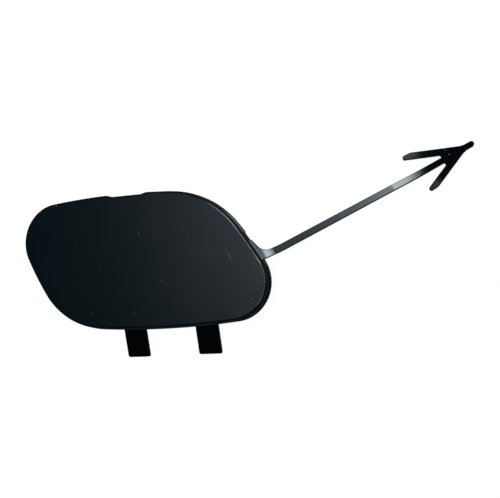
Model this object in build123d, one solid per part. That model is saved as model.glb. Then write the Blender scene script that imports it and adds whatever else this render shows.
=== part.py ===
from build123d import *
from math import atan2, cos, degrees, radians, sin, sqrt, tan
import os

# Bumper tow hook cover: one injection moulding in dark plastic, in millimetres.
# The crowned face looks up (+Z), the rim that seats in the bumper lies on z = 0,
# and the tether with its arrow leaves the right-hand side (+X).

# Outline of the face: sharp corners before rounding, clockwise from the top left
corner_tl = (-62.9, 24.8)
corner_tr = (29.8, 26.7)
corner_br = (62.6, -23.8)
corner_bl = (-36.3, -25.9)

# Radius that rounds each corner
radius_tl = 16.5
radius_tr = 39.7
radius_br = 15.5
radius_bl = 34.0

# How far each side bows outwards of the straight line between its corners
bow_top = 3.2
bow_right = 2.9
bow_bottom = 3.3
bow_left = 2.9

# Shell: crowned face with a skirt round it
crown_height = 5.6        # rim to the highest point of the face
crown_radius = 2500.0     # spherical crown that follows the bumper skin
face_wall = 2.2
skirt_wall = 2.0
edge_radius = 0.9         # rounding between the face and the skirt
inner_radius = 0.8        # rounding inside, under the face

# Seating lip round the foot of the skirt
lip_width = 0.4
lip_height = 1.5
lip_edge = 0.2

# Notch in the top edge, where a flat blade prises the cover out
notch_centre = -6.2
notch_floor = 13.4        # length of its straight floor
notch_ramp = 3.2          # length of the ramp at each end
notch_depth = 0.85
notch_blend = 2.5         # rounding where the ramps meet floor and edge

# Hook tabs on the bottom edge, which slip behind the bumper skin
tab_positions = (-8.15, 24.8)
tab_width = 9.9
tab_thickness = 1.6
tab_reach = 12.1          # beyond the outline
tab_fall = 15.5           # degrees that the tongue slopes away from the face
tab_leg = 2.0             # thickness of the leg that drops from the skirt
tab_inset = 0.4           # leg's outer side, inwards of the skirt's
tab_corner = 0.9
tab_bend = 0.6

# Bumper skin that the cover clips to, and the play left on it
skin_thickness = 2.5
skin_play = 0.3

# Snap latches behind the top edge
latch_positions = ((-33.0, 24.0), (14.0, 23.6))
latch_width = 9.0
latch_thickness = 1.6
latch_hook = 2.2          # how far the barb stands out from the leg
latch_nose = 1.2          # height of the barb's blunt side

# Upright webs that brace the tabs and the latches under the face
brace_width = 1.4
brace_reach = 5.0
brace_foot = 1.0          # how far below the rim they end

# Thin ribs under the face
rib_height = 1.0
rib_width = 1.2
cross_ribs = (-33.0, -9.5, 14.0, 37.0)
long_rib = -2.0

# Tether: a flat strap from the skirt to the arrow
tether_root = (53.05, -1.05)
tether_start = 20.5       # degrees, the direction in which it leaves the skirt
tether_angle = 23.35      # degrees, the direction of its straight run
tether_turn = 8.0         # length over which it takes that direction
tether_straight = 51.0
tether_width = 2.9        # at the root
tether_taper = 0.2        # degrees that each side leans in towards the arrow
tether_thickness = 1.6
tether_level = -0.6       # underside of its straight run; the rim is at 0
tether_dip = 1.3          # how much higher it leaves the skirt
tether_dip_length = 8.5
root_slope = 4.0          # degrees that the root falls away from the skirt
root_web = 7.2            # web up the skirt above the tether
root_web_angle = 133.0
root_web_blend = 5.0
root_bed = 1.0            # how deep the root is bedded in the skirt
lip_gap = (1.6, 9.9)      # gap in the lip, below and above the middle of the root
tether_edge = 0.2         # bevel along its rims
edge_start = 2.0          # where the bevel starts, in front of the root

# Droop of the free end, in a short bend and a long one
droop_start = 57.2        # distance from the root
droop_bends = ((4.0, 0.6), (9.2, 16.4))    # degrees, and the length of each bend

# Arrow that is pushed through a hole in the bumper and can't come back
head_turn = 4.7           # degrees between the straight run and the arrow
head_bend = 16.0          # length over which the strap takes that turn
head_reach = 16.4         # from the end of that bend to the tip
nose_width = 2.2
nose_length = 4.4         # nose in front of the barbs
nose_neck = 7.0           # hollow rounding between the nose and the barbs
strap_end = 6.5           # where the strap ends inside the arrow, behind the tip
barb_angle = 23.6         # degrees between a barb and the arrow's middle line
barb_width = 2.6
barb_reaches = (22.7, 20.1)   # upper and lower barb, along their outer sides
barb_end = 1.5            # width of its blunt end
barb_slant = 2.9          # how far the outer side stops short of the end
barb_shoulder = 5.0       # rounding where the slant begins
barb_round = 0.7          # rounding of the two corners at the end
barb_crotch = 0.6         # rounding between a barb and the strap

# Places that follow from the sizes above
crown_centre = crown_height - crown_radius
clip_gap = skin_thickness + skin_play
tab_drop = (tab_reach + tab_inset) * tan(radians(tab_fall))
tab_tip = clip_gap + tab_drop
foot_level = -(tab_tip + tab_thickness / cos(radians(tab_fall)))
head_angle = tether_angle + head_turn

# An edge or a wall that is steeper than this, in degrees, counts as upright
upright_angle = 65.0


def side_disc(start, end, bow, grow):
    """Large disc whose edge runs from start to end and bows outwards between them."""
    a, b = Vector(*start), Vector(*end)
    chord = b - a
    radius = (chord.length ** 2 / 4 + bow ** 2) / (2 * bow)
    inwards = Vector(chord.Y, -chord.X).normalized()
    centre = (a + b) / 2 + inwards * (radius - bow)
    return Pos(centre.X, centre.Y) * Circle(radius + grow)


def face_outline(grow=0.0):
    """Outline of the face without its notch, grown outwards by so much.

    It is where four large discs overlap, one for each side, with the corners rounded.
    """
    corners = (corner_tl, corner_tr, corner_br, corner_bl)
    bows = (bow_top, bow_right, bow_bottom, bow_left)
    radii = (radius_tl, radius_tr, radius_br, radius_bl)
    discs = [side_disc(corners[i], corners[(i + 1) % 4], bows[i], grow) for i in range(4)]
    outline = discs[0] & discs[1] & discs[2] & discs[3]
    for corner, radius in zip(corners, radii):
        nearest = outline.vertices().sort_by_distance(Vector(*corner))[0]
        outline = fillet(nearest, radius + grow)
    return outline


def top_edge(outline, x):
    """Height of the outline's top edge at x."""
    return (Line((x, 0), (x, 100)) & outline).vertices().sort_by(Axis.Y)[-1].Y


def bottom_edge(outline, x):
    """Height of the outline's bottom edge at x."""
    return (Line((x, 0), (x, -100)) & outline).vertices().sort_by(Axis.Y)[0].Y


def crown_ball(depth):
    """Ball whose top is the face, moved down into the wall by depth."""
    return Pos(0, 0, crown_centre) * Rot(90, 0, 0) * Sphere(crown_radius - depth)


def prism(sketch, low, high):
    """Sketch extruded from one height to another."""
    return Pos(0, 0, low) * extrude(sketch, high - low)


def notch_region(outline):
    """Trapezium that the notch takes out of the top edge."""
    edge = top_edge(outline, notch_centre)
    floor = edge - notch_depth
    clear = edge + notch_depth
    half_floor = notch_floor / 2
    half_mouth = half_floor + 2 * notch_ramp
    return make_face(Polyline(
        (notch_centre - half_floor, floor),
        (notch_centre + half_floor, floor),
        (notch_centre + half_mouth, clear),
        (notch_centre - half_mouth, clear),
        close=True,
    ))


def notched(outline, region):
    """Outline with the notch cut in and the four corners of the cut rounded."""
    cut = outline - region
    corners = [v for v in cut.vertices() if abs(v.X - notch_centre) < notch_floor
               and v.Y > top_edge(outline, notch_centre) - 2 * notch_depth]
    return fillet(corners, notch_blend)


def ceiling(x, y):
    """Height of the underside of the face above the rim."""
    return crown_centre + sqrt((crown_radius - face_wall) ** 2 - x ** 2 - y ** 2)


def shell(plan):
    """Crowned face and skirt, hollow from behind."""
    outside = prism(plan, 0, crown_height) & crown_ball(0)
    outside = fillet(outside.faces().sort_by(Axis.Z)[-1].edges(), edge_radius)
    inside = prism(face_outline(-skirt_wall), 0, crown_height) & crown_ball(face_wall)
    return outside - fillet(inside.faces().sort_by(Axis.Z)[-1].edges(), inner_radius)


def seating_lip(outline, region):
    """Narrow lip round the foot of the skirt, open at the notch and at the tether."""
    ring = face_outline(lip_width) - region
    lip = prism(ring, 0, lip_height)
    brink = lip.faces().sort_by(Axis.Z)[-1].edges()
    lip = chamfer(brink, lip_edge)
    low = tether_root[1] - lip_gap[0]
    high = tether_root[1] + lip_gap[1]
    gap = Rectangle(skirt_wall * 10, high - low, align=(Align.MIN, Align.MIN))
    gap_start = tether_root[0] - skirt_wall * 6
    keep_clear = prism(Pos(gap_start, low) * gap, 0, lip_height)
    return lip - prism(face_outline(-skirt_wall / 2), 0, lip_height) - (
        keep_clear - prism(outline, 0, lip_height))


def is_upright(edge):
    """Whether an edge stands upright."""
    return abs((edge % 0.5).Z) > sin(radians(upright_angle))


def is_wall(face):
    """Whether a face stands upright."""
    return abs(face.normal_at().Z) < cos(radians(upright_angle))


def across(profile, x, width):
    """Profile drawn in Y and Z, extruded along X to a width centred on x."""
    return Pos(x, 0, 0) * extrude(Plane.YZ * profile, width / 2, both=True)


def brace(x, y, reach, top, bottom):
    """Upright triangular web from y to y + reach, under the face at x."""
    outline = Polyline((y, bottom), (y, top), (y + reach, top), close=True)
    return across(make_face(outline), x, brace_width)


def hook_tab(outline, x):
    """Stepped tab: a leg down from the skirt and a tongue that slopes outwards."""
    edge = bottom_edge(outline, x)
    outer = edge + tab_inset
    inner = outer + tab_leg
    tip = edge - tab_reach
    under = tab_thickness / cos(radians(tab_fall))
    heel = -(clip_gap + under) + tab_leg * tan(radians(tab_fall))
    profile = make_face(Polyline(
        (inner, lip_height),
        (outer, lip_height),
        (outer, -clip_gap),
        (tip, -tab_tip),
        (tip, foot_level),
        (inner, heel),
        close=True,
    ))
    bends = [v for v in profile.vertices() if v.Y < 0 and v.X > tip + tab_bend]
    tab = across(fillet(bends, tab_bend), x, tab_width)
    tip_face = tab.faces().sort_by(Axis.Y)[0]
    tab = fillet(tip_face.edges().filter_by(Axis.Z), tab_corner)
    top = ceiling(x, inner) + face_wall / 2
    return tab + brace(x, inner - tab_bend, brace_reach, top, -brace_foot)


def snap_latch(x, y):
    """Springy leg with a barb that catches under the bumper skin."""
    top = ceiling(x, y) + face_wall / 2
    profile = make_face(Polyline(
        (y - latch_thickness, top),
        (y, top),
        (y, -clip_gap),
        (y + latch_hook, -clip_gap),
        (y + latch_hook, -clip_gap - latch_nose),
        (y, foot_level),
        (y - latch_thickness, foot_level),
        close=True,
    ))
    leg = across(profile, x, latch_width)
    return leg + brace(x, y - latch_thickness / 2, -brace_reach, top, -brace_foot)


def face_ribs():
    """Low ribs across and along the underside of the face."""
    inner = face_outline(-skirt_wall / 2)
    box = inner.bounding_box()
    strips = Pos(0, long_rib) * Rectangle(2 * box.size.X, rib_width)
    for x in cross_ribs:
        strips += Pos(x, 0) * Rectangle(rib_width, 2 * box.size.Y)
    layer = crown_ball(face_wall / 2) - crown_ball(face_wall + rib_height)
    return prism(strips & inner, 0, crown_height) & layer


def step(start, direction, length, turn=0):
    """Straight run, or an arc that turns by so many degrees over its length."""
    if turn == 0:
        return Line(start, start + direction * length)
    radius = length / radians(abs(turn))
    return JernArc(start, direction, radius, turn)


def heading(angle):
    """Unit vector at an angle in degrees."""
    return Vector(cos(radians(angle)), sin(radians(angle)))


def tether_run(side):
    """Middle line of the tether in plan for side 0, or its left (1) or right (-1) edge."""
    lean = side * tether_taper
    out = heading(tether_start - lean)
    start = Vector(*tether_root) + heading(tether_start + 90) * (side * tether_width / 2)
    bedded = Line(start - out * skirt_wall, start)
    bend = step(start, out, tether_turn, tether_angle - tether_start)
    run = step(bend @ 1, bend % 1, tether_straight)
    neck = step(run @ 1, run % 1, head_bend, head_turn)
    shank = step(neck @ 1, neck % 1, head_reach - strap_end)
    return bedded, bend, run, neck, shank


def strap_plan():
    """Strap in plan, tapering from its root to where it ends inside the arrow."""
    left = tether_run(1)
    right = tether_run(-1)
    root_end = Line(left[0] @ 0, right[0] @ 0)
    arrow_end = Line(left[-1] @ 1, right[-1] @ 1)
    return make_face([*left, *right, root_end, arrow_end])


def root_web_plan():
    """Web in plan that spreads the tether's root up the skirt."""
    root = Vector(*tether_root)
    along = heading(tether_start)
    left = heading(tether_start + 90)
    upper = root + left * (tether_width / 2)
    lower = root - left * (tether_width / 2)
    tail = upper + heading(root_web_angle) * root_web
    bed = -heading(root_web_angle - 90) * (2 * skirt_wall)
    return make_face(Polyline(
        upper,
        tail,
        tail + bed,
        lower - along * (2 * skirt_wall),
        upper - along * skirt_wall,
        close=True,
    ))


def barb_back(y):
    """How far behind the tip a barb's inner side is, where it is y off the middle line."""
    spread = y - nose_width / 2 + barb_width * cos(radians(barb_angle))
    return nose_length + barb_width * sin(radians(barb_angle)) + spread / tan(radians(barb_angle))


def barb_outline(side, reach):
    """One barb, drawn from the arrow's tip at the origin, pointing along +X."""
    back = Vector(-cos(radians(barb_angle)), side * sin(radians(barb_angle)))
    inwards = Vector(-sin(radians(barb_angle)), -side * cos(radians(barb_angle)))
    start = Vector(-nose_length, side * nose_width / 2)
    shoulder = start + back * (reach - barb_slant)
    end = start + back * reach + inwards * (barb_width - barb_end)
    inner_end = start + back * reach + inwards * barb_width
    barb = make_face(Polyline(
        start,
        shoulder,
        end,
        inner_end,
        Vector(-barb_back(0), 0),
        Vector(-nose_length, 0),
        close=True,
    ))
    for corner, radius in ((shoulder, barb_shoulder), (end, barb_round), (inner_end, barb_round)):
        barb = fillet(barb.vertices().sort_by_distance(corner)[0], radius)
    return barb


def arrow_outline():
    """Arrow from above: a round-ended nose with a barb on each side."""
    half = nose_width / 2
    head = Pos(-half) * Circle(half)
    head += Pos(-half) * Rectangle(strap_end - half, nose_width, align=(Align.MAX, Align.CENTER))
    for side, reach in zip((1, -1), barb_reaches):
        head += barb_outline(side, reach)
    for side in (1, -1):
        neck = Vector(-nose_length, side * half)
        head = fillet(head.vertices().sort_by_distance(neck)[0], nose_neck)
    return head


def tether_course():
    """Side view of the tether's middle line: it dips from the root, runs level and droops."""
    dip_turn = degrees(2 * atan2(tether_dip, tether_dip_length))
    dip_radius = tether_dip_length / (2 * sin(radians(dip_turn)))
    dip_arc = dip_radius * radians(dip_turn)
    high = Vector(0, tether_level + tether_thickness / 2 + tether_dip)
    down = heading(-root_slope)
    course = [Line(high - down * 2 * root_web, high)]
    course.append(step(high, down, dip_arc, root_slope - dip_turn))
    course.append(step(course[-1] @ 1, course[-1] % 1, dip_arc, dip_turn))
    course.append(step(course[-1] @ 1, course[-1] % 1, droop_start - tether_dip_length))
    for angle, length in droop_bends:
        course.append(step(course[-1] @ 1, course[-1] % 1, length, -angle))
    course.append(step(course[-1] @ 1, course[-1] % 1, 2 * head_reach))
    return course


def arrow_plane(last_run):
    """Plane that the arrow is flat in, at its tip, along the last run of the course."""
    ahead = heading(head_angle)
    tip = tether_run(0)[-1] @ 1 + ahead * strap_end
    start = last_run @ 0
    fall = last_run % 1
    distance = (tip - Vector(*tether_root)).dot(ahead)
    level = start.Y + (distance - start.X) * fall.Y / fall.X
    return Plane(
        origin=(tip.X, tip.Y, level),
        x_dir=ahead * fall.X + Vector(0, 0, fall.Y),
        z_dir=Vector(0, 0, fall.X) - ahead * fall.Y,
    )


def strap_body(course):
    """Strap and root web, cut to a band of the tether's thickness that follows the course."""
    plan = strap_plan() + root_web_plan()
    inner_corner = Vector(*tether_root) + heading(tether_start + 90) * (tether_width / 2)
    plan = fillet(plan.vertices().sort_by_distance(inner_corner)[0], root_web_blend)
    upright = Plane(
        origin=(*tether_root, 0),
        x_dir=heading(head_angle),
        z_dir=heading(head_angle - 90),
    )
    band = upright * trace(Curve(children=course), tether_thickness)
    return prism(plan, foot_level, crown_height) & extrude(band, 4 * root_web, both=True)


def tether():
    """Tether from its root in the skirt to the arrow, with rounded crotches and bevelled rims."""
    course = tether_course()
    plane = arrow_plane(course[-1])
    body = strap_body(course)
    body += extrude(plane * arrow_outline(), tether_thickness / 2, both=True)

    crotch = plane.from_local_coords(Vector(-barb_back(nose_width / 2), 0))
    corners = body.edges().filter_by(is_upright)
    body = fillet(corners.sort_by_distance(crotch)[:2], barb_crotch)

    root = Vector(*tether_root)
    walls = body.faces().filter_by(is_wall)
    rims = [edge for edge in walls.edges() if not is_upright(edge)
            and (edge.center() - root).dot(heading(tether_angle)) > edge_start]
    body = chamfer(rims, tether_edge)
    return body - prism(face_outline(-root_bed), 0, crown_height)


def cover():
    """The whole moulding as one solid."""
    outline = face_outline()
    region = notch_region(outline)
    body = shell(notched(outline, region))
    body += seating_lip(outline, region)
    body += face_ribs()
    for x in tab_positions:
        body += hook_tab(outline, x)
    for x, y in latch_positions:
        body += snap_latch(x, y)
    body += tether()
    return body


os.makedirs("parts", exist_ok=True)
export_step(cover(), "parts/tow_hook_cover.step")
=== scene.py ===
"""Looks of a bumper tow hook cover: bare black moulded plastic, dust, and a pale studio."""

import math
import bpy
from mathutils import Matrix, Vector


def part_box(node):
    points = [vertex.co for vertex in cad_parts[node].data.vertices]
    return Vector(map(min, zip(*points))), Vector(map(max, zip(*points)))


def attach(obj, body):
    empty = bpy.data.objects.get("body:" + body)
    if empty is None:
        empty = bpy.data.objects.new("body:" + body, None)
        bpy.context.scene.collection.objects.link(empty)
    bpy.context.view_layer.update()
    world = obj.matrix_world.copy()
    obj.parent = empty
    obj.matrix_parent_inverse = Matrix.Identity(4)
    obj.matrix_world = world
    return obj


bl_info = {
    "name": "Tow Hook Cover",
    "version": (1, 0, 0),
    "blender": (4, 5, 0),
    "location": "3D View > Sidebar > Tow Hook Cover",
    "description": "Finishes the moulded tow hook cover and sets its stage",
    "category": "Object",
}

import bpy
import numpy as np
from bpy.props import FloatProperty, FloatVectorProperty, PointerProperty
from bpy.types import Operator, Panel, PropertyGroup
from mathutils import Matrix, Vector
from mathutils.bvhtree import BVHTree

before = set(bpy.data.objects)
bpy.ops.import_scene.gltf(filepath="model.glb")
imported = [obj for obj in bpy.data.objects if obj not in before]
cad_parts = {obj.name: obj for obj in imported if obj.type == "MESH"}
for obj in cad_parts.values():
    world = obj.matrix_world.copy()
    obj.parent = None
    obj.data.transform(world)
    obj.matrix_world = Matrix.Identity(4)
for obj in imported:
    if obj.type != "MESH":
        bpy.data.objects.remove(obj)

COVER = "tow_hook_cover"
BODY = "root"

# The whole model is in metres, and sizes below are named in millimetres
MM = 0.001

# The photograph's frame in pixels, and where its camera stood
PICTURE_WIDTH = 500
PICTURE_CENTRE = (249.5, 248.5)
FOCAL_PIXELS = 860.0
SENSOR_WIDTH = 36.0
ORIGIN_PIXEL = (146.25, 261.02)     # where the part's origin is seen
NADIR_PIXEL = (556.0, 311.0)        # straight below the camera
PART_TURN = 2.65                    # degrees that the part is turned in the picture

# The tether in the part's frame, in millimetres and degrees
TETHER_ROOT = (53.05, -1.05, 0.0)
TETHER_TURN = 28.05                 # direction of its free end
TETHER_START = 8.0                  # distance from the root over which its streaks set in
WORN_RUN = (54.0, 57.0, 66.0, 71.0)     # where the worn stretch begins, is full, fades, ends

# Bend at the foot of the tether's dip, which the shading tightens
DIP_END = 8.53                      # distance from the root at which the dip is over
DIP_BEND = 4.25                     # length of the bend
DIP_RADIUS = 14.6                   # a little over the top's own, so that a slight fall is left

# Ends of the barbs, given a painted pale highlight for the light that their bent ends catch: place
# in the part's frame, reach, and how pale
BARB_ENDS = (
    ((109.6, 33.2, -0.7), 8.4, 0.52),
    ((120.2, 18.6, -1.2), 7.6, 0.4),
)
PAINTED_HIGHLIGHT_FULL = 0.5                   # share of the reach over which they are fully pale
PAINTED_HIGHLIGHT_STREAKS = (0.3, 0.75)        # noise between which a streak goes from weak to full
PAINTED_HIGHLIGHT_LEAST = 0.45                 # how pale the weak streaks stay

# Scuffs on the worn stretch: how many to the metre, and how far they are drawn out
SCUFF_SCALE = 1500.0
SCUFF_STRETCH = (0.45, 1.0, 1.0)

# How far a face looks up, from 0 to 1: before fine dust settles, and as the tether's top
DUST_FACING = (0.3, 0.8)
TOP_FACING = 0.85

# Noise of the slow swell lies mostly between these
SWELL_NOISE = (0.3, 0.7)

# Hairline scratch on the face, from pixel to pixel of the photograph
SCRATCH = ((227.4, 252.0), (231.0, 259.8))
SCRATCH_FADE = 0.2                  # share times one less the share at which it is full

# Bright dust on the face: pixel of the photograph, and size against the usual fleck
FACE_DUST = (
    (137.4, 213.6, 1.3), (138.0, 232.7, 1.2), (141.0, 221.0, 0.5), (151.6, 221.3, 0.55),
    (160.5, 221.3, 0.5), (151.9, 236.5, 0.9), (188.6, 208.0, 0.9), (195.5, 211.0, 1.0),
    (191.8, 207.6, 0.6), (150.0, 208.3, 0.5), (87.7, 216.0, 0.5), (188.0, 234.8, 0.6),
    (75.3, 246.3, 0.9), (100.6, 266.0, 0.8), (160.0, 274.3, 0.5), (161.0, 280.6, 1.4),
    (157.2, 289.0, 0.9), (111.7, 284.3, 0.5), (91.5, 313.3, 0.9), (133.5, 312.3, 0.9),
    (132.6, 323.4, 0.9), (140.0, 323.3, 0.5), (110.0, 323.5, 0.8), (55.6, 205.3, 1.6),
    (251.4, 298.4, 1.2), (221.5, 246.8, 0.45),
)

# Bright dust on the arrow, in the same way
ARROW_DUST = ((444.3, 149.2, 1.5), (449.0, 154.0, 1.1), (455.3, 152.0, 0.6))

# Shape of a fleck: its radius for each unit of height, and how its outline swells
FLECK_FLATNESS = 3
FLECK_TWO_LOBES = 0.3
FLECK_THREE_LOBES = 0.12
FLECK_PHASES = 40.0                 # outlines turn by so much from the first fleck to the last

# Floor: its grey, and how much of its white the camera sees without any light
FLOOR_GREY = 0.08
FLOOR_GLOW = 0.96

# Room round the part, as limits of a direction's axes between which each light fades
LOWEST_RISE = 0.05                  # slopes are worked out as if no direction were lower
ROOM_RISE = (0.1, 0.6)              # Z at which the horizon gives way to the ceiling
CEILING_NEAR = (-0.45, 0.05)        # Y below which the ceiling is dark
CEILING_FAR = (0.1, 0.33)           # X past which the ceiling is dark
SIDE_REACH = (0.7, 1.15)            # X and Y together past which the side is pale
SIDE_RISE = (0.45, 0.7)             # Z above which the pale side ends


def camera_axes():
    """The part's three axes as the camera sees them, each as right, down and forward.

    Up, the part's Z, points from the nadir pixel's ray back to the camera. X is the
    picture's rightward axis laid flat on the ground, and Y is across both. Then X and Y
    are turned by the part's turn.
    """
    ray = pixel_ray(NADIR_PIXEL)
    up = -ray / np.linalg.norm(ray)
    right = np.array([1.0, 0.0, 0.0])
    flat = right - up * (right @ up)
    flat = flat / np.linalg.norm(flat)
    across = np.cross(up, flat)
    turn = math.radians(PART_TURN)
    x_axis = math.cos(turn) * flat + math.sin(turn) * across
    y_axis = math.cos(turn) * across - math.sin(turn) * flat
    return np.array([x_axis, y_axis, up])


def pixel_ray(pixel):
    """Ray through a pixel of the photograph, as right, down and forward."""
    return np.array([
        (pixel[0] - PICTURE_CENTRE[0]) / FOCAL_PIXELS,
        (pixel[1] - PICTURE_CENTRE[1]) / FOCAL_PIXELS,
        1.0,
    ])


def camera_place(height):
    """Camera's place in the part's frame, when it is so high above the rim's plane."""
    axes = camera_axes()
    towards = axes @ pixel_ray(ORIGIN_PIXEL)
    return towards * (height / towards[2])


def millimetres(values):
    """Lengths in metres of a row of lengths in millimetres."""
    return [value * MM for value in values]


def surface_spots(context, pixels):
    """Place and normal of the cover's surface under each pixel of the photograph."""
    eye = Vector(camera_place(context.scene.tow_cover_stage.camera_height))
    axes = camera_axes()
    surface = BVHTree.FromObject(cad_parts[COVER], context.evaluated_depsgraph_get())
    spots = []
    for pixel in pixels:
        direction = Vector(axes @ pixel_ray(pixel)).normalized()
        spot, normal, _, _ = surface.ray_cast(eye, direction)
        if spot is None:
            raise RuntimeError(f"no surface under the pixel {pixel}")
        spots.append((spot, normal))
    return spots


def node_group(name, inputs, outputs):
    """Empty shader node group with float, colour or vector sockets.

    Each socket is a name, a type and, for an input, its default.
    """
    group = bpy.data.node_groups.new(name, "ShaderNodeTree")
    for label, kind, default in inputs:
        socket = group.interface.new_socket(name=label, in_out="INPUT", socket_type=kind)
        if default is not None:
            socket.default_value = default
    for label, kind in outputs:
        group.interface.new_socket(name=label, in_out="OUTPUT", socket_type=kind)
    enter = group.nodes.new("NodeGroupInput")
    leave = group.nodes.new("NodeGroupOutput")
    return group, enter, leave


def add_node(tree, kind, **values):
    """Node of a kind; values are its own settings, or inputs by name with underscores."""
    node = tree.nodes.new(kind)
    for key, value in values.items():
        if hasattr(node, key):
            setattr(node, key, value)
        else:
            node.inputs[key.replace("_", " ").title()].default_value = value
    return node


def arithmetic(tree, operation, a, b=None, clamp=False):
    """Math node on two sockets or numbers; returns its output socket."""
    node = tree.nodes.new("ShaderNodeMath")
    node.operation = operation
    node.use_clamp = clamp
    for socket, value in zip(node.inputs, (a, b)):
        if value is None:
            continue
        if isinstance(value, (int, float)):
            socket.default_value = value
        else:
            tree.links.new(value, socket)
    return node.outputs[0]


def remap(tree, value, low, high, to_low=0.0, to_high=1.0):
    """Smooth step of a value between two limits; returns its output socket."""
    node = tree.nodes.new("ShaderNodeMapRange")
    node.interpolation_type = "SMOOTHSTEP"
    tree.links.new(value, node.inputs["Value"])
    limits = {"From Min": low, "From Max": high, "To Min": to_low, "To Max": to_high}
    for label, number in limits.items():
        if isinstance(number, (int, float)):
            node.inputs[label].default_value = number
        else:
            tree.links.new(number, node.inputs[label])
    return node.outputs["Result"]


def window(tree, value, begin, full, fade, end):
    """One between full and fade, nought before begin and after end; returns its socket."""
    opens = remap(tree, value, begin, full)
    closes = remap(tree, value, fade, end, 1.0, 0.0)
    return arithmetic(tree, "MULTIPLY", opens, closes)


def place_group(tree, group, **sockets):
    """Group node in a tree; sockets are numbers, vectors or links by name with underscores."""
    node = tree.nodes.new("ShaderNodeGroup")
    node.node_tree = group
    for key, value in sockets.items():
        socket = node.inputs[key.replace("_", " ").title()]
        if isinstance(value, bpy.types.NodeSocket):
            tree.links.new(value, socket)
        else:
            socket.default_value = value
    return node


def mix_colour(tree, mask, under, over):
    """Mix of two colours, each a link or a value, by a mask; returns its output socket."""
    node = tree.nodes.new("ShaderNodeMix")
    node.data_type = "RGBA"
    tree.links.new(mask, node.inputs["Factor"])
    colours = [socket for socket in node.inputs if socket.type == "RGBA"]
    for socket, value in zip(colours, (under, over)):
        if isinstance(value, bpy.types.NodeSocket):
            tree.links.new(value, socket)
        else:
            socket.default_value = value
    return next(socket for socket in node.outputs if socket.type == "RGBA")


def mould_grain_group():
    """Fine pitted grain of a moulded surface, with a slow swell under it."""
    group, enter, leave = node_group(
        "mould_grain",
        [
            ("Vector", "NodeSocketVector", None),
            ("Grain Scale", "NodeSocketFloat", 3000.0),
            ("Swell Scale", "NodeSocketFloat", 60.0),
        ],
        [("Height", "NodeSocketFloat"), ("Tone", "NodeSocketFloat")],
    )
    grain = add_node(group, "ShaderNodeTexNoise", detail=3.0, roughness=0.6)
    swell = add_node(group, "ShaderNodeTexNoise", detail=2.0, roughness=0.5)
    for texture, label in ((grain, "Grain Scale"), (swell, "Swell Scale")):
        group.links.new(enter.outputs["Vector"], texture.inputs["Vector"])
        group.links.new(enter.outputs[label], texture.inputs["Scale"])
    group.links.new(grain.outputs["Fac"], leave.inputs["Height"])
    group.links.new(swell.outputs["Fac"], leave.inputs["Tone"])
    return group


def streaks_group():
    """Fine streaks along the X of their vector, as a mould's steel leaves when it is drawn."""
    group, enter, leave = node_group(
        "streaks",
        [
            ("Vector", "NodeSocketVector", None),
            ("Scale", "NodeSocketFloat", 2600.0),
            ("Stretch", "NodeSocketVector", (0.05, 1.0, 1.0)),
        ],
        [("Streak", "NodeSocketFloat")],
    )
    drawn = group.nodes.new("ShaderNodeVectorMath")
    drawn.operation = "MULTIPLY"
    group.links.new(enter.outputs["Vector"], drawn.inputs[0])
    group.links.new(enter.outputs["Stretch"], drawn.inputs[1])
    streak = add_node(group, "ShaderNodeTexNoise", detail=2.0, roughness=0.7)
    group.links.new(drawn.outputs["Vector"], streak.inputs["Vector"])
    group.links.new(enter.outputs["Scale"], streak.inputs["Scale"])
    group.links.new(streak.outputs["Fac"], leave.inputs["Streak"])
    return group


def settled_dust_group():
    """Specks of fine dust, on the sides that look up."""
    group, enter, leave = node_group(
        "settled_dust",
        [
            ("Vector", "NodeSocketVector", None),
            ("Normal", "NodeSocketVector", None),
            ("Scale", "NodeSocketFloat", 1250.0),
            ("Size", "NodeSocketFloat", 0.10),
            ("Share", "NodeSocketFloat", 0.05),
        ],
        [("Mask", "NodeSocketFloat")],
    )
    cells = group.nodes.new("ShaderNodeTexVoronoi")
    group.links.new(enter.outputs["Vector"], cells.inputs["Vector"])
    group.links.new(enter.outputs["Scale"], cells.inputs["Scale"])
    speck = remap(group, cells.outputs["Distance"], 0.0, enter.outputs["Size"], 1.0, 0.0)
    chance = group.nodes.new("ShaderNodeSeparateColor")
    group.links.new(cells.outputs["Color"], chance.inputs["Color"])
    kept = arithmetic(group, "LESS_THAN", chance.outputs["Red"], enter.outputs["Share"])
    level = group.nodes.new("ShaderNodeSeparateXYZ")
    group.links.new(enter.outputs["Normal"], level.inputs["Vector"])
    up = remap(group, level.outputs["Z"], *DUST_FACING)
    mask = arithmetic(group, "MULTIPLY", arithmetic(group, "MULTIPLY", speck, kept), up)
    group.links.new(mask, leave.inputs["Mask"])
    return group


def painted_highlight_group():
    """Painted pale highlight round a centre, broken up by streaks."""
    group, enter, leave = node_group(
        "painted_highlight",
        [
            ("Vector", "NodeSocketVector", None),
            ("Centre", "NodeSocketVector", None),
            ("Reach", "NodeSocketFloat", 0.008),
            ("Streak", "NodeSocketFloat", 0.5),
        ],
        [("Mask", "NodeSocketFloat")],
    )
    away = group.nodes.new("ShaderNodeVectorMath")
    away.operation = "DISTANCE"
    group.links.new(enter.outputs["Vector"], away.inputs[0])
    group.links.new(enter.outputs["Centre"], away.inputs[1])
    reach = enter.outputs["Reach"]
    full = arithmetic(group, "MULTIPLY", reach, PAINTED_HIGHLIGHT_FULL)
    near = remap(group, away.outputs["Value"], full, reach, 1.0, 0.0)
    broken = remap(group, enter.outputs["Streak"], *PAINTED_HIGHLIGHT_STREAKS, PAINTED_HIGHLIGHT_LEAST, 1.0)
    group.links.new(arithmetic(group, "MULTIPLY", near, broken), leave.inputs["Mask"])
    return group


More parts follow.
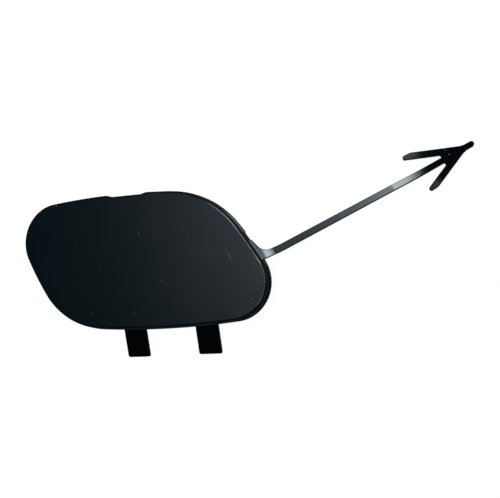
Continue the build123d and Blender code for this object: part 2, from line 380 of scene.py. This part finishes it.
def scratch_group():
    """Hairline between two points, fading towards its ends."""
    group, enter, leave = node_group(
        "scratch",
        [
            ("Vector", "NodeSocketVector", None),
            ("Start", "NodeSocketVector", None),
            ("Run", "NodeSocketVector", None),
            ("Width", "NodeSocketFloat", 0.0001),
        ],
        [("Mask", "NodeSocketFloat")],
    )

    def vector(operation, a, b, result="Vector"):
        node = group.nodes.new("ShaderNodeVectorMath")
        node.operation = operation
        group.links.new(a, node.inputs[0])
        group.links.new(b, node.inputs["Scale"] if operation == "SCALE" else node.inputs[1])
        return node.outputs[result]

    run = enter.outputs["Run"]
    offset = vector("SUBTRACT", enter.outputs["Vector"], enter.outputs["Start"])
    along = vector("DOT_PRODUCT", offset, run, "Value")
    whole = vector("DOT_PRODUCT", run, run, "Value")
    share = arithmetic(group, "DIVIDE", along, whole, clamp=True)
    foot = vector("SCALE", run, share)
    away = vector("DISTANCE", offset, foot, "Value")
    line = remap(group, away, 0.0, enter.outputs["Width"], 1.0, 0.0)
    ends = arithmetic(group, "MULTIPLY", share, arithmetic(group, "SUBTRACT", 1.0, share))
    fade = remap(group, ends, 0.0, SCRATCH_FADE)
    group.links.new(arithmetic(group, "MULTIPLY", line, fade), leave.inputs["Mask"])
    return group


class FinishSettings(PropertyGroup):
    """Colours and sizes of the plastic's surface."""

    colour: FloatVectorProperty(
        name="Plastic",
        description="Colour of the bare moulded plastic",
        subtype="COLOR",
        size=4,
        min=0.0,
        max=1.0,
        default=(0.0008, 0.0018, 0.0026, 1.0),
    )
    # Painted highlight: pale colour for the barbs' ends, standing in for the light that their bent
    # ends catch
    painted_highlight_colour: FloatVectorProperty(
        name="Rubbed plastic",
        description="Colour of plastic that has been rubbed or bent pale",
        subtype="COLOR",
        size=4,
        min=0.0,
        max=1.0,
        default=(0.040, 0.056, 0.066, 1.0),
    )
    dust_colour: FloatVectorProperty(
        name="Fine dust",
        description="Colour of the fine dust and of the scratch",
        subtype="COLOR",
        size=4,
        min=0.0,
        max=1.0,
        default=(0.10, 0.11, 0.11, 1.0),
    )
    roughness: FloatProperty(
        name="Roughness",
        description="Roughness of the moulded skin between grain pits",
        subtype="FACTOR",
        min=0.0,
        max=1.0,
        default=0.10,
    )
    roughness_swing: FloatProperty(
        name="Roughness swing",
        description="How far the roughness swells and falls over the surface",
        subtype="FACTOR",
        min=0.0,
        max=0.5,
        default=0.025,
    )
    # Roughness added at the painted highlight on the barbs' ends and at the dust and scratch
    painted_highlight_and_dust_roughness: FloatProperty(
        name="Rubbed roughness",
        description="Roughness that a rubbed or dusty place adds",
        subtype="FACTOR",
        min=0.0,
        max=1.0,
        default=0.35,
    )
    grain_size: FloatProperty(
        name="Grain size",
        description="Size of one pit of the moulded grain",
        unit="LENGTH",
        default=0.35 * MM,
        min=0.05 * MM,
    )
    grain_depth: FloatProperty(
        name="Grain depth",
        description="Depth of the moulded grain",
        unit="LENGTH",
        default=0.0025 * MM,
        min=0.0,
    )
    streak_depth: FloatProperty(
        name="Streak depth",
        description="Depth of the streaks along the tether",
        unit="LENGTH",
        default=0.006 * MM,
        min=0.0,
    )
    scuff_depth: FloatProperty(
        name="Scuff depth",
        description="Depth of the scuffs on the worn stretch of the tether",
        unit="LENGTH",
        default=0.022 * MM,
        min=0.0,
    )
    scratch_width: FloatProperty(
        name="Scratch width",
        description="Half the width of the hairline scratch on the face",
        unit="LENGTH",
        default=0.11 * MM,
        min=0.01 * MM,
    )


class DustSettings(PropertyGroup):
    """Sizes and colour of the dust."""

    colour: FloatVectorProperty(
        name="Dust",
        description="Colour of dust and lint",
        subtype="COLOR",
        size=4,
        min=0.0,
        max=1.0,
        default=(0.30, 0.31, 0.29, 1.0),
    )
    fleck_radius: FloatProperty(
        name="Fleck radius",
        description="Radius of a usual fleck of dust",
        unit="LENGTH",
        default=0.12 * MM,
        min=0.01 * MM,
    )


class StageSettings(PropertyGroup):
    """Camera, floor and lights."""

    camera_height: FloatProperty(
        name="Camera height",
        description="Height of the camera above the plane of the rim",
        unit="LENGTH",
        default=327.0 * MM,
    )
    floor_size: FloatProperty(
        name="Floor size",
        description="Width of the square floor",
        unit="LENGTH",
        default=4.0,
    )
    lamp_x: FloatVectorProperty(
        name="Lamp in X",
        description="Slopes in X at which the lamp begins, is full, starts to fade and ends",
        size=4,
        default=(-0.21, -0.11, 0.05, 0.22),
    )
    lamp_y: FloatVectorProperty(
        name="Lamp in Y",
        description="Slopes in Y at which the lamp begins, is full, starts to fade and ends",
        size=4,
        default=(-0.33, -0.23, 0.55, 0.70),
    )
    lamp_level: FloatProperty(
        name="Lamp",
        description="Radiance of the overhead lamp",
        min=0.0,
        default=8.8,
    )
    lamp_tint: FloatVectorProperty(
        name="Lamp's tint",
        description="Colour of the overhead lamp",
        subtype="COLOR",
        size=4,
        min=0.0,
        max=1.0,
        default=(0.95, 1.0, 0.98, 1.0),
    )
    glow_slope: FloatVectorProperty(
        name="Glow's place",
        description="Run of the middle of the wide glow in X and Y for each unit of height",
        size=2,
        default=(-0.093, 0.203),
    )
    glow_falloff: FloatVectorProperty(
        name="Glow's fall-off",
        description="How fast the wide glow fades away from its middle in X and in Y",
        size=2,
        default=(7.5, 9.2),
    )
    glow_cut: FloatVectorProperty(
        name="Glow's cut",
        description="Slopes in X between which the wide glow is cut off",
        size=2,
        default=(0.05, 0.30),
    )
    glow_level: FloatProperty(
        name="Glow",
        description="Radiance in the middle of the wide glow",
        min=0.0,
        default=6.0,
    )
    ceiling: FloatProperty(
        name="Ceiling",
        description="Radiance of the room overhead, away from the lamp and the glow",
        min=0.0,
        default=0.08,
    )
    ceiling_tint: FloatVectorProperty(
        name="Ceiling's tint",
        description="Colour of the room overhead",
        subtype="COLOR",
        size=4,
        min=0.0,
        max=1.0,
        default=(0.05, 0.65, 1.0, 1.0),
    )
    horizon: FloatProperty(
        name="Horizon",
        description="Radiance of the room near the horizon",
        min=0.0,
        default=0.25,
    )
    side_level: FloatProperty(
        name="Side",
        description="Radiance of the room's pale far right side",
        min=0.0,
        default=0.45,
    )
    room_tint: FloatVectorProperty(
        name="Room's tint",
        description="Colour of the glow and of the room",
        subtype="COLOR",
        size=4,
        min=0.0,
        max=1.0,
        default=(0.76, 0.89, 1.0, 1.0),
    )


def crease_height(tree, tether_x):
    """Height that tightens the bend at the foot of the tether's dip.

    It is the root of the bend's radius squared less the distance from its end squared,
    with that distance held between nought and the bend's length.
    """
    away = arithmetic(tree, "SUBTRACT", DIP_END * MM, tether_x)
    away = arithmetic(tree, "MINIMUM", arithmetic(tree, "MAXIMUM", away, 0.0), DIP_BEND * MM)
    square = arithmetic(tree, "MULTIPLY", away, away)
    return arithmetic(tree, "SQRT", arithmetic(tree, "SUBTRACT", (DIP_RADIUS * MM) ** 2, square))


def tether_coordinates(tree, here):
    """Coordinates with their origin at the tether's root and X along its free end."""
    tether = add_node(tree, "ShaderNodeMapping", vector_type="TEXTURE")
    tether.inputs["Location"].default_value = millimetres(TETHER_ROOT)
    tether.inputs["Rotation"].default_value = (0.0, 0.0, math.radians(TETHER_TURN))
    tree.links.new(here, tether.inputs["Vector"])
    return tether.outputs["Vector"]


def axis_of(tree, vector, axis):
    """One axis of a vector socket, as a socket."""
    split = tree.nodes.new("ShaderNodeSeparateXYZ")
    tree.links.new(vector, split.inputs["Vector"])
    return split.outputs[axis]


def painted_highlight_mask(tree, here, streak):
    """Mask of the painted highlight on the barbs' ends."""
    painted_highlight = painted_highlight_group()
    masks = []
    for centre, reach, pale in BARB_ENDS:
        patch = place_group(
            tree,
            painted_highlight,
            vector=here,
            centre=millimetres(centre),
            reach=reach * MM,
            streak=streak,
        )
        masks.append(arithmetic(tree, "MULTIPLY", patch.outputs["Mask"], pale))
    return arithmetic(tree, "MAXIMUM", *masks)


def speck_mask(tree, here, normal, scratch, width):
    """Mask of the settled dust and the scratch, which is a start and a run."""
    dust = place_group(tree, settled_dust_group(), vector=here, normal=normal)
    start, run = scratch
    line = place_group(tree, scratch_group(), vector=here, start=start, run=run, width=width)
    return arithmetic(tree, "MAXIMUM", dust.outputs["Mask"], line.outputs["Mask"])


def plastic_material(settings, scratch):
    """Bare black plastic: grain, a slow swell, streaks, a painted highlight on the barb ends, dust
    and a scratch.
    """
    material = bpy.data.materials.new("black_plastic_moulded")
    material.use_nodes = True
    tree = material.node_tree
    shader = tree.nodes["Principled BSDF"]
    shader.inputs["IOR"].default_value = 1.5
    place = tree.nodes.new("ShaderNodeTexCoord")
    here = place.outputs["Object"]
    normal = place.outputs["Normal"]
    mould_grain = mould_grain_group()
    grain = place_group(tree, mould_grain, vector=here, grain_scale=1.0 / settings.grain_size)
    tether = tether_coordinates(tree, here)
    along = axis_of(tree, tether, "X")
    streaks = streaks_group()
    streak = place_group(tree, streaks, vector=tether).outputs["Streak"]

    painted_highlight = painted_highlight_mask(tree, here, streak)
    specks = speck_mask(tree, here, normal, scratch, settings.scratch_width)
    # The barbs' ends are painted pale, a painted highlight for the light that their bent ends
    # catch
    colour = mix_colour(tree, painted_highlight, settings.colour, settings.painted_highlight_colour)
    colour = mix_colour(tree, specks, colour, settings.dust_colour)
    tree.links.new(colour, shader.inputs["Base Color"])

    low = settings.roughness - settings.roughness_swing
    high = settings.roughness + settings.roughness_swing
    skin = remap(tree, grain.outputs["Tone"], *SWELL_NOISE, low, high)
    # Roughness rises at the painted highlight on the barb ends and at the dust and scratch
    worn = arithmetic(tree, "MAXIMUM", painted_highlight, specks)
    added = arithmetic(tree, "MULTIPLY", worn, settings.painted_highlight_and_dust_roughness)
    tree.links.new(arithmetic(tree, "ADD", skin, added), shader.inputs["Roughness"])

    pits = arithmetic(tree, "MULTIPLY", grain.outputs["Height"], settings.grain_depth)
    on_tether = remap(tree, along, 0.0, TETHER_START * MM)
    drawn = arithmetic(tree, "MULTIPLY", streak, on_tether)
    drawn = arithmetic(tree, "MULTIPLY", drawn, settings.streak_depth)
    scuff = place_group(tree, streaks, vector=tether, scale=SCUFF_SCALE, stretch=SCUFF_STRETCH)
    on_worn_run = window(tree, along, *millimetres(WORN_RUN))
    scuffed = arithmetic(tree, "MULTIPLY", scuff.outputs["Streak"], on_worn_run)
    scuffed = arithmetic(tree, "MULTIPLY", scuffed, settings.scuff_depth)
    on_top = arithmetic(tree, "GREATER_THAN", axis_of(tree, normal, "Z"), TOP_FACING)
    crease = arithmetic(tree, "MULTIPLY", crease_height(tree, along), on_top)
    height = arithmetic(tree, "ADD", pits, arithmetic(tree, "ADD", drawn, scuffed))
    bump = tree.nodes.new("ShaderNodeBump")
    bump.inputs["Distance"].default_value = 1.0
    tree.links.new(arithmetic(tree, "ADD", height, crease), bump.inputs["Height"])
    tree.links.new(bump.outputs["Normal"], shader.inputs["Normal"])
    return material


def dust_material(settings):
    """Pale dust."""
    material = bpy.data.materials.new("dust")
    material.use_nodes = True
    shader = material.node_tree.nodes["Principled BSDF"]
    shader.inputs["Base Color"].default_value = settings.colour
    shader.inputs["Roughness"].default_value = 0.9
    return material


class OBJECT_OT_tow_cover_plastic(Operator):
    """Give the moulded cover its plastic"""

    bl_idname = "object.tow_cover_plastic"
    bl_label = "Cover plastic"

    def execute(self, context):
        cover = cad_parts[COVER]
        start, end = (spot for spot, _ in surface_spots(context, SCRATCH))
        plastic = plastic_material(context.scene.tow_cover_finish, (start, end - start))
        cover.data.materials.clear()
        cover.data.materials.append(plastic)
        return {"FINISHED"}


def fleck_grid(centres, normals, radii, rings=4, spokes=12):
    """Low lens-shaped flecks, all at once.

    Ring share r and angle a give a point at r times the radius from the centre, where the
    radius swells and shrinks with the angle. Its height along the surface's normal is the
    radius over the flatness, times one less r squared.
    """
    share = np.linspace(0.0, 1.0, rings + 1)[1:]
    angle = np.linspace(0.0, 2 * math.pi, spokes, endpoint=False)
    count = len(centres)
    phase = np.linspace(0.0, FLECK_PHASES, count)[:, None, None]
    two_lobes = FLECK_TWO_LOBES * np.cos(2 * angle + phase)
    three_lobes = FLECK_THREE_LOBES * np.cos(3 * angle - 2 * phase)
    swell = 1 + two_lobes + three_lobes
    reach = radii[:, None, None] * share[None, :, None] * swell
    side = np.cross(normals, [0.0, 1.0, 0.0])
    side = side / np.linalg.norm(side, axis=1, keepdims=True)
    other = np.cross(normals, side)
    height = radii[:, None, None] / FLECK_FLATNESS * (1 - share[None, :, None] ** 2)
    points = (
        centres[:, None, None, :]
        + reach[..., None] * np.cos(angle)[None, None, :, None] * side[:, None, None, :]
        + reach[..., None] * np.sin(angle)[None, None, :, None] * other[:, None, None, :]
        + height[..., None] * normals[:, None, None, :]
    )
    tops = centres + normals * (radii / FLECK_FLATNESS)[:, None]
    vertices = np.concatenate([points.reshape(-1, 3), tops])
    k, i, j = np.meshgrid(np.arange(count), np.arange(rings - 1), np.arange(spokes), indexing="ij")
    a = (k * rings + i) * spokes + j
    b = (k * rings + i) * spokes + (j + 1) % spokes
    quads = np.stack([a, a + spokes, b + spokes, b], axis=-1).reshape(-1, 4)
    k, j = np.meshgrid(np.arange(count), np.arange(spokes), indexing="ij")
    a = k * rings * spokes + j
    b = k * rings * spokes + (j + 1) % spokes
    top = count * rings * spokes + k
    triangles = np.stack([top, a, b], axis=-1).reshape(-1, 3)
    return vertices, quads, triangles


class OBJECT_OT_tow_cover_dust(Operator):
    """Lay the bright flecks of dust on the cover"""

    bl_idname = "object.tow_cover_dust"
    bl_label = "Dust"

    def execute(self, context):
        settings = context.scene.tow_cover_dust
        flecks = FACE_DUST + ARROW_DUST
        centres, normals = zip(*surface_spots(context, [fleck[:2] for fleck in flecks]))
        radii = [fleck[2] * settings.fleck_radius for fleck in flecks]
        vertices, quads, triangles = fleck_grid(
            np.array(centres), np.array(normals), np.array(radii)
        )
        mesh = bpy.data.meshes.new("dust_flecks")
        mesh.from_pydata(vertices.tolist(), [], quads.tolist() + triangles.tolist())
        mesh.shade_smooth()
        piece = bpy.data.objects.new("dust_flecks", mesh)
        context.scene.collection.objects.link(piece)
        mesh.materials.append(dust_material(settings))
        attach(piece, BODY)
        return {"FINISHED"}


def floor_material():
    """Matt white floor that the camera sees as white, apart from the part's shadow."""
    material = bpy.data.materials.new("floor")
    material.use_nodes = True
    tree = material.node_tree
    shader = tree.nodes["Principled BSDF"]
    shader.inputs["Roughness"].default_value = 1.0
    shader.inputs["Specular IOR Level"].default_value = 0.0
    shader.inputs["Base Color"].default_value = (FLOOR_GREY, FLOOR_GREY, FLOOR_GREY, 1.0)
    shader.inputs["Emission Color"].default_value = (1.0, 1.0, 1.0, 1.0)
    path = tree.nodes.new("ShaderNodeLightPath")
    glow = arithmetic(tree, "MULTIPLY", path.outputs["Is Camera Ray"], FLOOR_GLOW)
    tree.links.new(glow, shader.inputs["Emission Strength"])
    return material


def add_backdrop(tree, colour, strength):
    """Background shader of a colour, with its strength from a socket."""
    background = tree.nodes.new("ShaderNodeBackground")
    background.inputs["Color"].default_value = colour
    tree.links.new(strength, background.inputs["Strength"])
    return background.outputs["Background"]


def set_world(scene, settings):
    """World that is white to the camera and lights the part as a dim studio would.

    With slopes x and y of a direction, which are its run for each unit of rise, the lamp
    is a rectangle in x and y with soft edges. The wide glow is its level times e to the
    power of minus the root of the sum of the squares of x and y from its own place, each
    times its fall-off. The room is dark overhead on the near side and past the lamp, a
    little lighter near the horizon, and pale low down on the far right side.
    """
    world = bpy.data.worlds.new("studio")
    scene.world = world
    world.use_nodes = True
    tree = world.node_tree
    tree.nodes.clear()
    place = tree.nodes.new("ShaderNodeTexCoord")
    split = tree.nodes.new("ShaderNodeSeparateXYZ")
    tree.links.new(place.outputs["Generated"], split.inputs["Vector"])
    rise = arithmetic(tree, "MAXIMUM", split.outputs["Z"], LOWEST_RISE)
    slope_x = arithmetic(tree, "DIVIDE", split.outputs["X"], rise)
    slope_y = arithmetic(tree, "DIVIDE", split.outputs["Y"], rise)

    lamp_x = window(tree, slope_x, *settings.lamp_x)
    lamp_y = window(tree, slope_y, *settings.lamp_y)
    lamp = arithmetic(tree, "MULTIPLY", lamp_x, lamp_y)
    lamp = arithmetic(tree, "MULTIPLY", lamp, settings.lamp_level)

    squares = []
    places = zip((slope_x, slope_y), settings.glow_slope, settings.glow_falloff)
    for slope, middle, falloff in places:
        away = arithmetic(tree, "MULTIPLY", arithmetic(tree, "SUBTRACT", slope, middle), falloff)
        squares.append(arithmetic(tree, "MULTIPLY", away, away))
    away = arithmetic(tree, "SQRT", arithmetic(tree, "ADD", *squares))
    fall = arithmetic(tree, "EXPONENT", arithmetic(tree, "MULTIPLY", away, -1.0))
    cut = remap(tree, slope_x, *settings.glow_cut, 1.0, 0.0)
    glow = arithmetic(tree, "MULTIPLY", fall, cut)
    glow = arithmetic(tree, "MULTIPLY", glow, settings.glow_level)

    above = remap(tree, split.outputs["Z"], *ROOM_RISE, 0.0, settings.ceiling)
    far = remap(tree, split.outputs["Y"], *CEILING_NEAR)
    before = remap(tree, split.outputs["X"], *CEILING_FAR, 1.0, 0.0)
    overhead = arithmetic(tree, "MULTIPLY", above, arithmetic(tree, "MULTIPLY", far, before))
    band = remap(tree, split.outputs["Z"], *ROOM_RISE, settings.horizon, 0.0)
    sideways = arithmetic(tree, "ADD", split.outputs["X"], split.outputs["Y"])
    side = remap(tree, sideways, *SIDE_REACH, 0.0, settings.side_level)
    low_down = remap(tree, split.outputs["Z"], *SIDE_RISE, 1.0, 0.0)
    side = arithmetic(tree, "MULTIPLY", side, low_down)
    room = arithmetic(tree, "ADD", glow, arithmetic(tree, "ADD", band, side))

    path = tree.nodes.new("ShaderNodeLightPath")
    camera = path.outputs["Is Camera Ray"]
    unseen = arithmetic(tree, "SUBTRACT", 1.0, camera)
    surface = add_backdrop(tree, (1.0, 1.0, 1.0, 1.0), camera)
    lights = (
        (settings.lamp_tint, lamp),
        (settings.room_tint, room),
        (settings.ceiling_tint, overhead),
    )
    for tint, level in lights:
        light = add_backdrop(tree, tint, arithmetic(tree, "MULTIPLY", level, unseen))
        joined = tree.nodes.new("ShaderNodeAddShader")
        tree.links.new(surface, joined.inputs[0])
        tree.links.new(light, joined.inputs[1])
        surface = joined.outputs["Shader"]
    output = tree.nodes.new("ShaderNodeOutputWorld")
    tree.links.new(surface, output.inputs["Surface"])


class OBJECT_OT_tow_cover_stage(Operator):
    """Set the camera, the floor and the lights"""

    bl_idname = "object.tow_cover_stage"
    bl_label = "Stage"

    def execute(self, context):
        scene = context.scene
        settings = scene.tow_cover_stage
        scene.view_settings.view_transform = "Standard"
        set_world(scene, settings)

        low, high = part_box(COVER)
        mesh = bpy.data.meshes.new("floor")
        half = settings.floor_size / 2
        corners = np.array([[-half, -half], [half, -half], [half, half], [-half, half]])
        vertices = np.column_stack([corners, np.full(4, low.z)])
        mesh.from_pydata(vertices.tolist(), [], [(0, 1, 2, 3)])
        mesh.materials.append(floor_material())
        floor = bpy.data.objects.new("floor", mesh)
        scene.collection.objects.link(floor)

        data = bpy.data.cameras.new("camera")
        data.sensor_width = SENSOR_WIDTH
        data.lens = FOCAL_PIXELS / PICTURE_WIDTH * SENSOR_WIDTH
        camera = bpy.data.objects.new("camera", data)
        axes = camera_axes()
        turn = np.column_stack([axes[:, 0], -axes[:, 1], -axes[:, 2]])
        place = camera_place(settings.camera_height)
        camera.matrix_world = Matrix.Translation(place) @ Matrix(turn.tolist()).to_4x4()
        scene.collection.objects.link(camera)
        scene.camera = camera
        return {"FINISHED"}


class VIEW3D_PT_tow_cover(Panel):
    """Tow hook cover"""

    bl_idname = "VIEW3D_PT_tow_cover"
    bl_label = "Tow Hook Cover"
    bl_space_type = "VIEW_3D"
    bl_region_type = "UI"
    bl_category = "Tow Hook Cover"

    def draw(self, context):
        scene = context.scene
        for settings, operator in (
            (scene.tow_cover_finish, OBJECT_OT_tow_cover_plastic),
            (scene.tow_cover_dust, OBJECT_OT_tow_cover_dust),
            (scene.tow_cover_stage, OBJECT_OT_tow_cover_stage),
        ):
            box = self.layout.box()
            for label in settings.__annotations__:
                box.prop(settings, label)
            box.operator(operator.bl_idname)


CLASSES = (
    FinishSettings,
    DustSettings,
    StageSettings,
    OBJECT_OT_tow_cover_plastic,
    OBJECT_OT_tow_cover_dust,
    OBJECT_OT_tow_cover_stage,
    VIEW3D_PT_tow_cover,
)


def register():
    """Add the classes and the scene's settings."""
    for cls in CLASSES:
        bpy.utils.register_class(cls)
    bpy.types.Scene.tow_cover_finish = PointerProperty(type=FinishSettings)
    bpy.types.Scene.tow_cover_dust = PointerProperty(type=DustSettings)
    bpy.types.Scene.tow_cover_stage = PointerProperty(type=StageSettings)


def unregister():
    """Take the scene's settings and the classes away."""
    del bpy.types.Scene.tow_cover_stage
    del bpy.types.Scene.tow_cover_dust
    del bpy.types.Scene.tow_cover_finish
    for cls in reversed(CLASSES):
        bpy.utils.unregister_class(cls)


def main():
    """Finish the cover, lay the dust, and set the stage."""
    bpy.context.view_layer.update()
    register()
    bpy.ops.object.tow_cover_plastic()
    bpy.ops.object.tow_cover_dust()
    bpy.ops.object.tow_cover_stage()


if __name__ == "__main__":
    main()
